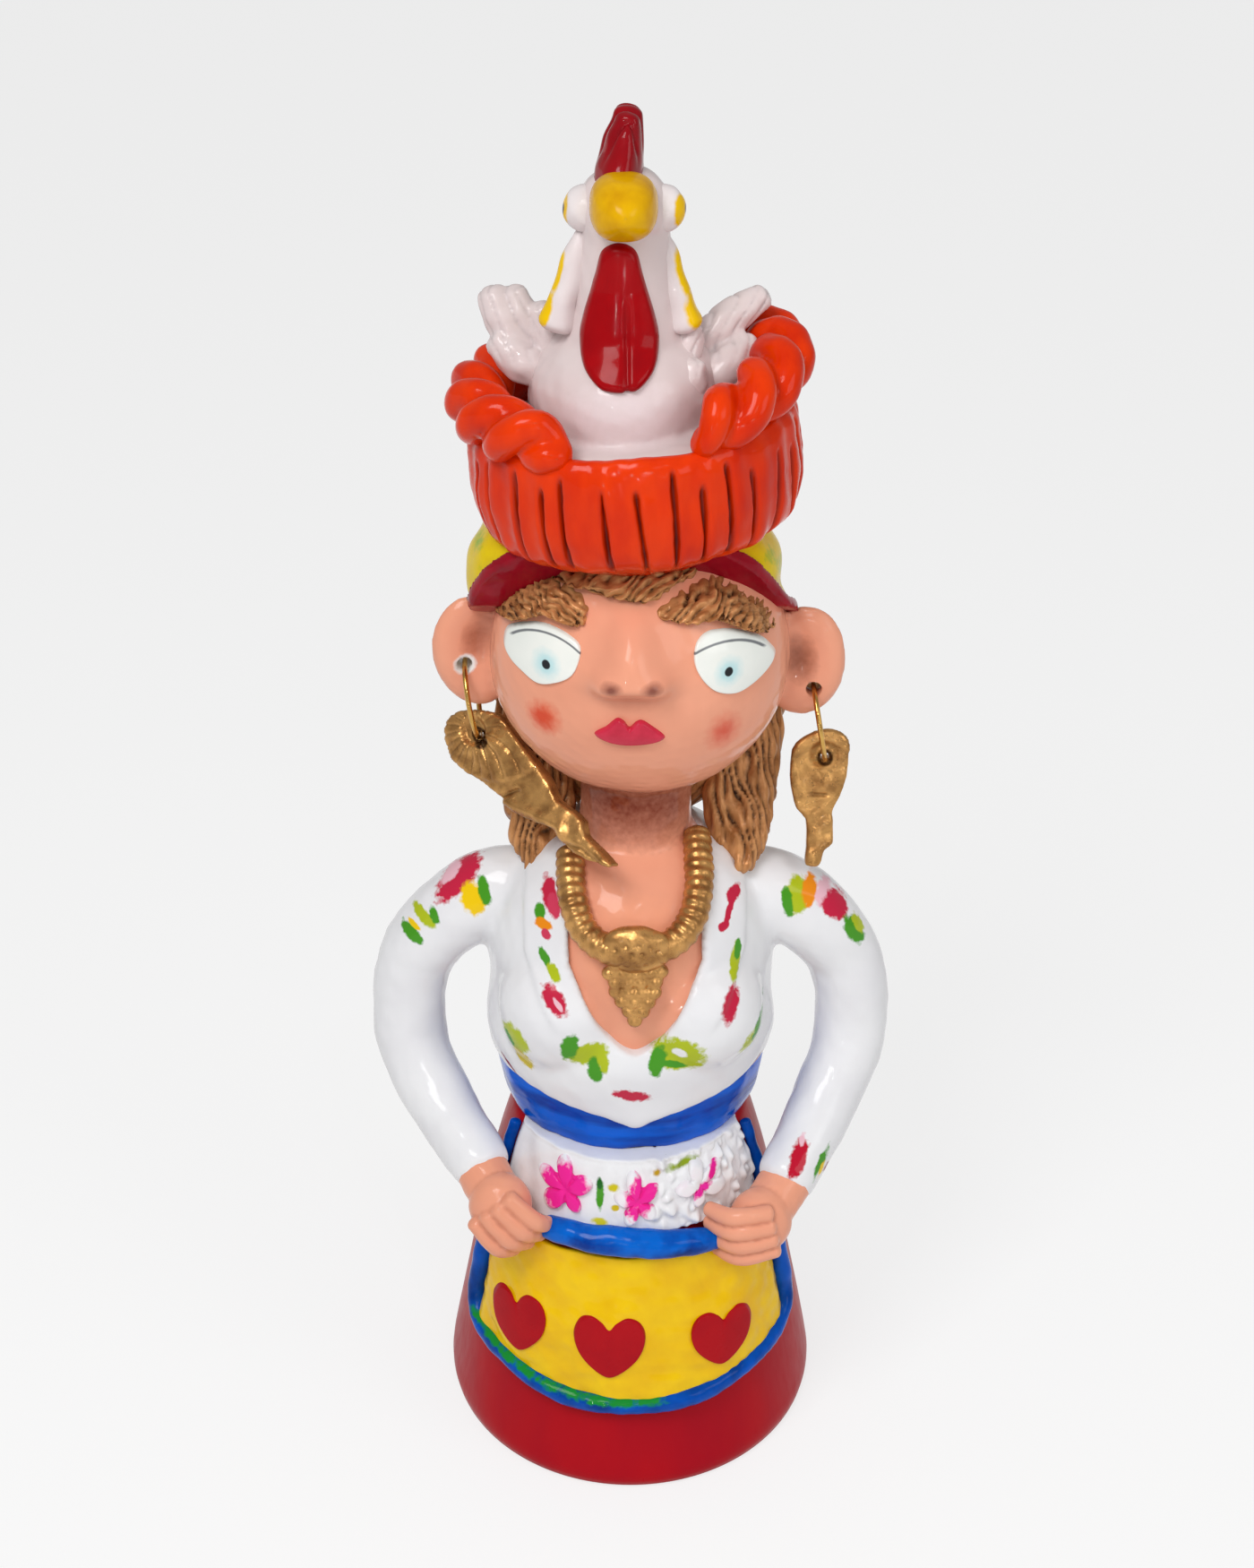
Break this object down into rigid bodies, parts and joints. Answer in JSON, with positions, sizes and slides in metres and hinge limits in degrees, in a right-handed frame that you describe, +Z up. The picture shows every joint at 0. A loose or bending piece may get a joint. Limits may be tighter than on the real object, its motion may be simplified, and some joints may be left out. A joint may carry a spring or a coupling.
{
  "type": "clay woman figurine",
  "caption": "Painted clay figurine of a country woman in a blouse, apron and long skirt, with swinging earrings and a hen in a basket on her head.",
  "frame": {"origin": "on the floor under the middle of the skirt", "axes": "+Z up from the foot to the comb of the hen, -Y the way the woman faces, +X to the right of someone who looks at her face"},
  "size_m": [0.0928, 0.0768, 0.2402],
  "materials": {
    "skirt_red": "satin paint on fired clay",
    "apron_yellow": "glossy varnish over paint on fired clay",
    "trim_blue": "glossy varnish over paint on fired clay",
    "heart_red": "glossy varnish over paint on fired clay",
    "petal_pink": "glossy varnish over paint on fired clay",
    "cloth_white": "glossy varnish over paint on fired clay",
    "skin": "glossy varnish over paint on fired clay",
    "eye_white": "glossy varnish over paint on fired clay",
    "lip_red": "glossy varnish over paint on fired clay",
    "hair_brown": "glossy varnish over paint on fired clay",
    "kerchief_yellow": "glossy varnish over paint on fired clay",
    "kerchief_red": "glossy varnish over paint on fired clay",
    "basket_orange": "glossy varnish over paint on fired clay",
    "hen_white": "glossy varnish over paint on fired clay",
    "beak_yellow": "glossy varnish over paint on fired clay",
    "comb_red": "glossy varnish over paint on fired clay",
    "gold_paint": "gold paint under varnish on fired clay",
    "brass_wire": "bright bare wire"
  },
  "bodies": {
    "figure": {"skirt": "skirt_red", "apron": "apron_yellow", "apron_border": "trim_blue", "apron_hem": "trim_blue", "waistband": "trim_blue", "left_heart": "heart_red", "middle_heart": "heart_red", "right_heart": "heart_red", "left_flower": "petal_pink", "middle_flower": "petal_pink", "right_flower": "petal_pink", "waist_panel": "cloth_white", "blouse": "cloth_white", "left_placket": "cloth_white", "right_placket": "cloth_white", "left_sleeve": "cloth_white", "right_sleeve": "cloth_white", "neck_and_chest": "skin", "left_hand": "skin", "right_hand": "skin", "head": "skin", "nose": "skin", "left_ear": "skin", "right_ear": "skin", "left_eye": "eye_white", "right_eye": "eye_white", "lips": "lip_red", "left_brow": "hair_brown", "right_brow": "hair_brown", "back_hair": "hair_brown", "left_lock": "hair_brown", "right_lock": "hair_brown", "fringe": "hair_brown", "kerchief": "kerchief_yellow", "kerchief_tail": "kerchief_yellow", "kerchief_border": "kerchief_red", "basket": "basket_orange", "left_handle_first_strand": "basket_orange", "left_handle_second_strand": "basket_orange", "right_handle_first_strand": "basket_orange", "right_handle_second_strand": "basket_orange", "hen_body": "hen_white", "hen_left_eye": "hen_white", "hen_right_eye": "hen_white", "hen_left_lobe": "hen_white", "hen_right_lobe": "hen_white", "hen_left_wing": "hen_white", "hen_right_wing": "hen_white", "hen_tail": "hen_white", "hen_beak": "beak_yellow", "hen_comb": "comb_red", "hen_bib": "comb_red", "left_necklace": "gold_paint", "right_necklace": "gold_paint", "medallion": "gold_paint", "cluster": "gold_paint"},
    "left_ring": {"left_earring_ring": "brass_wire"},
    "left_drop": {"left_earring_drop": "gold_paint"},
    "right_ring": {"right_earring_ring": "brass_wire"},
    "right_drop": {"right_earring_drop": "gold_paint"}
  },
  "joints": [
    {"name": "left_ring_swing", "type": "hinge", "parent": "figure", "child": "left_ring", "pos_m": [-0.0278, 0.0025, 0.1462], "axis": [0, 1, 0], "range_deg": [0, 40]},
    {"name": "left_drop_swing", "type": "hinge", "parent": "left_ring", "child": "left_drop", "pos_m": [-0.02564, 0.0025, 0.13257], "axis": [0, 1, 0], "range_deg": [0, 45]},
    {"name": "right_ring_swing", "type": "hinge", "parent": "figure", "child": "right_ring", "pos_m": [0.0308, 0.0025, 0.1418], "axis": [0, 1, 0], "range_deg": [-40, 3]},
    {"name": "right_drop_swing", "type": "hinge", "parent": "right_ring", "child": "right_drop", "pos_m": [0.0332, 0.0025, 0.12821], "axis": [0, 1, 0], "range_deg": [-50, 3]}
  ]
}
